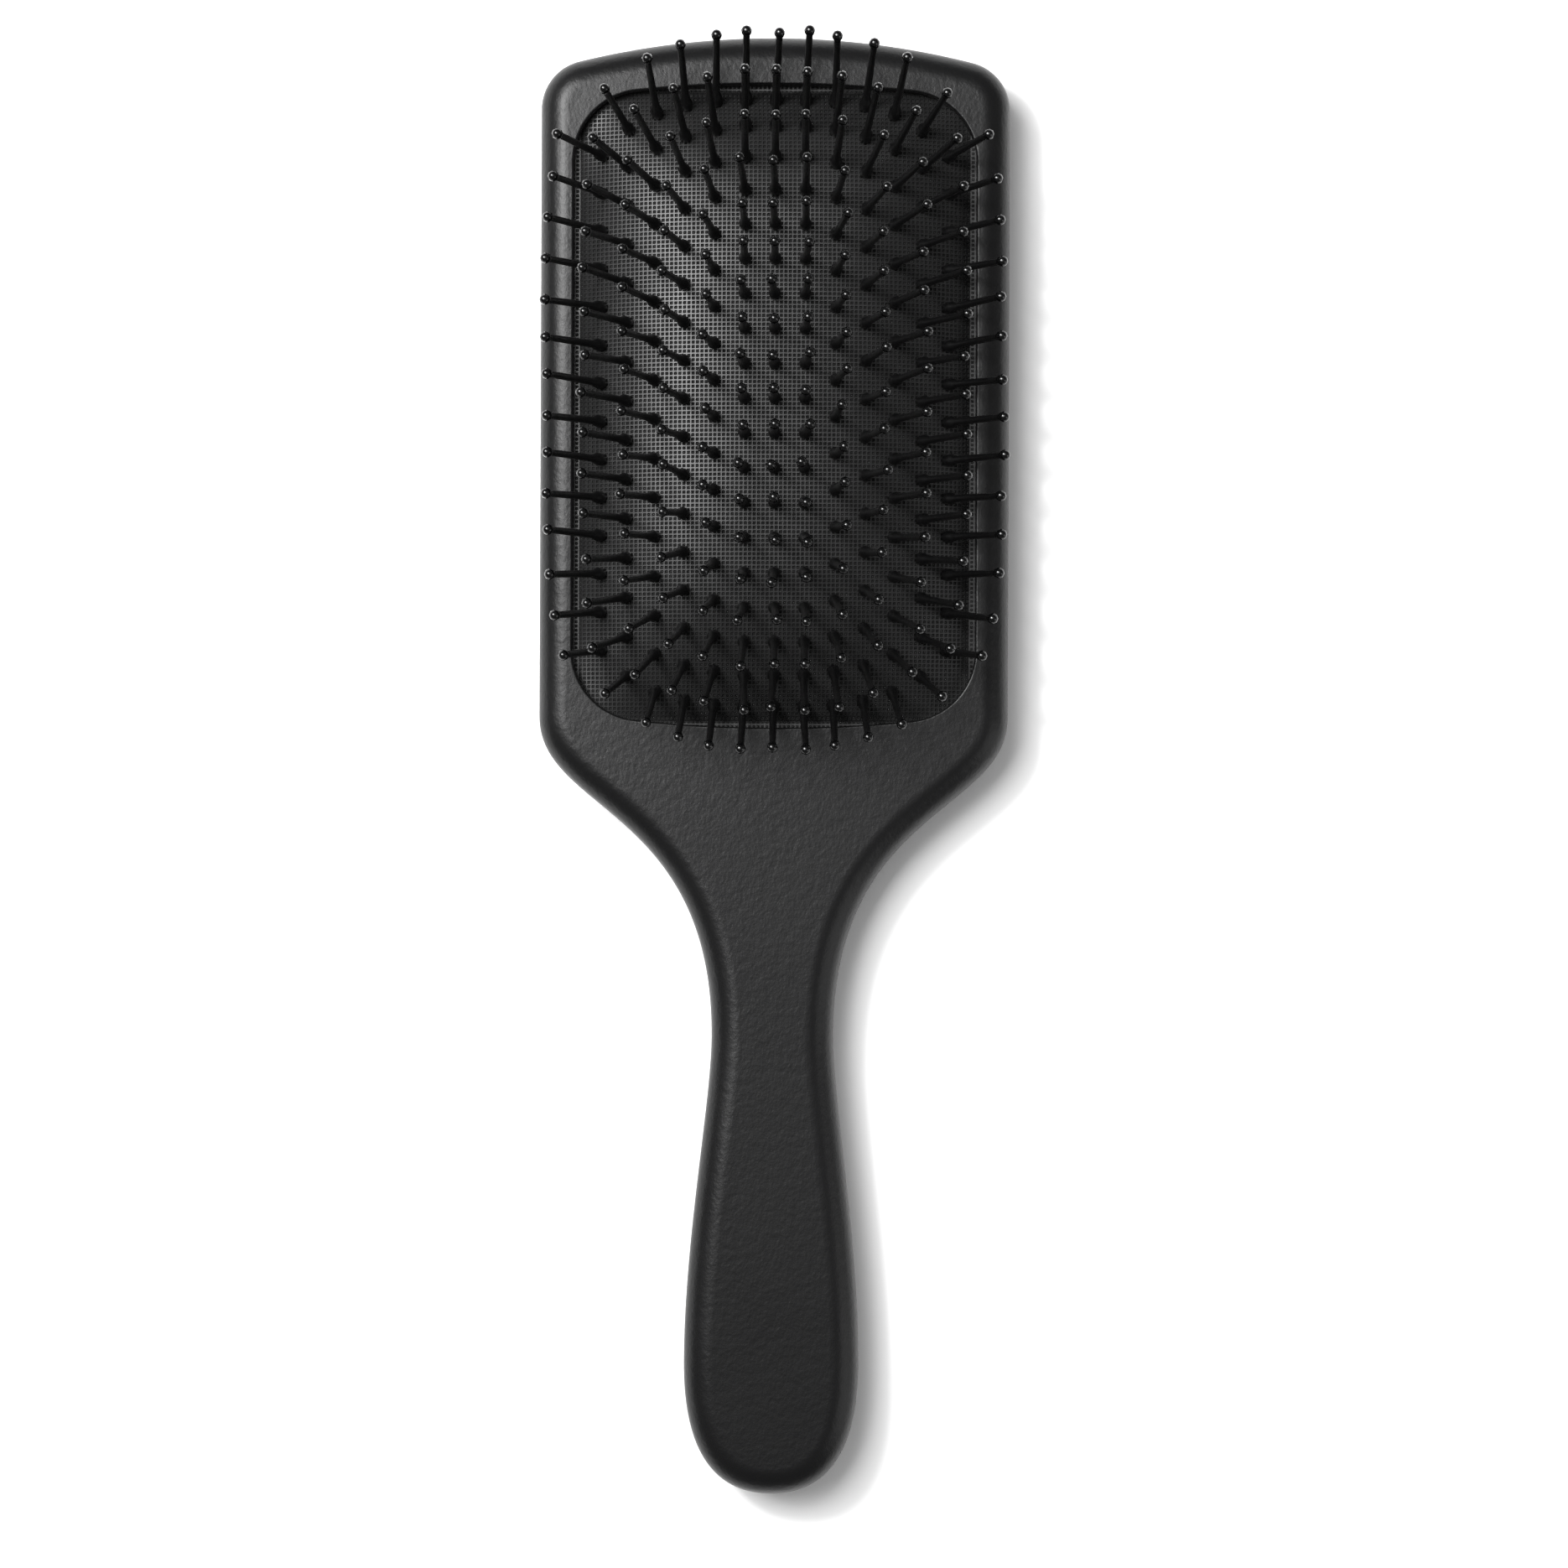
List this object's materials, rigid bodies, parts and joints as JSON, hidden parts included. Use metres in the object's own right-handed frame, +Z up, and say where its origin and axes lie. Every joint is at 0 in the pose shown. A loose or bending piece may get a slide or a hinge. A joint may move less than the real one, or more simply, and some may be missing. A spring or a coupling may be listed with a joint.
{
  "type": "paddle hair brush",
  "caption": "Flat one-piece paddle brush with an oblong domed rubber air cushion and rows of ball-tipped pins that fan outwards.",
  "frame": {"origin": "on the flat back, under the middle of the outline, with the brush lying on its back", "axes": "+X right, +Y from the handle to the head, +Z up out of the pins"},
  "size_m": [0.0804, 0.25, 0.0382],
  "materials": {
    "lacquered_wood": "satin black lacquer over fine wood grain",
    "cushion_rubber": "matte black rubber with a fine embossed weave",
    "pin_nylon": "black nylon, satin shanks and glossy round tips"
  },
  "bodies": {
    "paddle": {"paddle_body": "lacquered_wood"},
    "cushion": {"cushion_sheet": "cushion_rubber"},
    "row_01": {"pin_row_01_lower": "pin_nylon", "pin_row_01_upper": "pin_nylon"},
    "row_02": {"pin_row_02_lower": "pin_nylon", "pin_row_02_upper": "pin_nylon"},
    "row_03": {"pin_row_03_lower": "pin_nylon", "pin_row_03_upper": "pin_nylon"},
    "row_04": {"pin_row_04_lower": "pin_nylon", "pin_row_04_upper": "pin_nylon"},
    "row_05": {"pin_row_05_lower": "pin_nylon", "pin_row_05_upper": "pin_nylon"},
    "row_06": {"pin_row_06_lower": "pin_nylon", "pin_row_06_upper": "pin_nylon"},
    "row_07": {"pin_row_07_lower": "pin_nylon", "pin_row_07_upper": "pin_nylon"},
    "row_08": {"pin_row_08_lower": "pin_nylon", "pin_row_08_upper": "pin_nylon"},
    "row_09": {"pin_row_09_lower": "pin_nylon", "pin_row_09_upper": "pin_nylon"},
    "row_10": {"pin_row_10_lower": "pin_nylon", "pin_row_10_upper": "pin_nylon"},
    "row_11": {"pin_row_11_lower": "pin_nylon", "pin_row_11_upper": "pin_nylon"},
    "row_12": {"pin_row_12_lower": "pin_nylon", "pin_row_12_upper": "pin_nylon"},
    "row_13": {"pin_row_13_lower": "pin_nylon", "pin_row_13_upper": "pin_nylon"}
  },
  "joints": [
    {"name": "cushion_press", "type": "slide", "parent": "paddle", "child": "cushion", "axis": [0, 0, -1], "range_m": [0, 0.0022], "stiffness_N_per_m": 3500, "deforming": ["cushion_sheet"]},
    {"name": "row_01_lean", "type": "hinge", "parent": "cushion", "child": "row_01", "pos_m": [-0.0293, 0.0618, 0.01376], "axis": [0, 1, 0], "range_deg": [-12, 12], "stiffness_Nm_per_rad": 0.1},
    {"name": "row_02_lean", "type": "hinge", "parent": "cushion", "child": "row_02", "pos_m": [-0.02487, 0.0618, 0.01563], "axis": [0, 1, 0], "range_deg": [-12, 12], "stiffness_Nm_per_rad": 0.1},
    {"name": "row_03_lean", "type": "hinge", "parent": "cushion", "child": "row_03", "pos_m": [-0.02015, 0.0618, 0.01707], "axis": [0, 1, 0], "range_deg": [-12, 12], "stiffness_Nm_per_rad": 0.1},
    {"name": "row_04_lean", "type": "hinge", "parent": "cushion", "child": "row_04", "pos_m": [-0.01522, 0.0618, 0.01804], "axis": [0, 1, 0], "range_deg": [-12, 12], "stiffness_Nm_per_rad": 0.1},
    {"name": "row_05_lean", "type": "hinge", "parent": "cushion", "child": "row_05", "pos_m": [-0.01018, 0.0618, 0.01859], "axis": [0, 1, 0], "range_deg": [-12, 12], "stiffness_Nm_per_rad": 0.1},
    {"name": "row_06_lean", "type": "hinge", "parent": "cushion", "child": "row_06", "pos_m": [-0.00509, 0.0618, 0.01881], "axis": [0, 1, 0], "range_deg": [-12, 12], "stiffness_Nm_per_rad": 0.1},
    {"name": "row_07_lean", "type": "hinge", "parent": "cushion", "child": "row_07", "pos_m": [0, 0.0618, 0.01885], "axis": [0, 1, 0], "range_deg": [-12, 12], "stiffness_Nm_per_rad": 0.1},
    {"name": "row_08_lean", "type": "hinge", "parent": "cushion", "child": "row_08", "pos_m": [0.00509, 0.0618, 0.01881], "axis": [0, 1, 0], "range_deg": [-12, 12], "stiffness_Nm_per_rad": 0.1},
    {"name": "row_09_lean", "type": "hinge", "parent": "cushion", "child": "row_09", "pos_m": [0.01018, 0.0618, 0.01859], "axis": [0, 1, 0], "range_deg": [-12, 12], "stiffness_Nm_per_rad": 0.1},
    {"name": "row_10_lean", "type": "hinge", "parent": "cushion", "child": "row_10", "pos_m": [0.01522, 0.0618, 0.01804], "axis": [0, 1, 0], "range_deg": [-12, 12], "stiffness_Nm_per_rad": 0.1},
    {"name": "row_11_lean", "type": "hinge", "parent": "cushion", "child": "row_11", "pos_m": [0.02015, 0.0618, 0.01707], "axis": [0, 1, 0], "range_deg": [-12, 12], "stiffness_Nm_per_rad": 0.1},
    {"name": "row_12_lean", "type": "hinge", "parent": "cushion", "child": "row_12", "pos_m": [0.02487, 0.0618, 0.01563], "axis": [0, 1, 0], "range_deg": [-12, 12], "stiffness_Nm_per_rad": 0.1},
    {"name": "row_13_lean", "type": "hinge", "parent": "cushion", "child": "row_13", "pos_m": [0.0293, 0.0618, 0.01376], "axis": [0, 1, 0], "range_deg": [-12, 12], "stiffness_Nm_per_rad": 0.1}
  ],
  "couplings": [
    {"joint": "row_01_lean", "follows": "row_07_lean", "ratio": 1},
    {"joint": "row_02_lean", "follows": "row_07_lean", "ratio": 1},
    {"joint": "row_03_lean", "follows": "row_07_lean", "ratio": 1},
    {"joint": "row_04_lean", "follows": "row_07_lean", "ratio": 1},
    {"joint": "row_05_lean", "follows": "row_07_lean", "ratio": 1},
    {"joint": "row_06_lean", "follows": "row_07_lean", "ratio": 1},
    {"joint": "row_08_lean", "follows": "row_07_lean", "ratio": 1},
    {"joint": "row_09_lean", "follows": "row_07_lean", "ratio": 1},
    {"joint": "row_10_lean", "follows": "row_07_lean", "ratio": 1},
    {"joint": "row_11_lean", "follows": "row_07_lean", "ratio": 1},
    {"joint": "row_12_lean", "follows": "row_07_lean", "ratio": 1},
    {"joint": "row_13_lean", "follows": "row_07_lean", "ratio": 1}
  ]
}
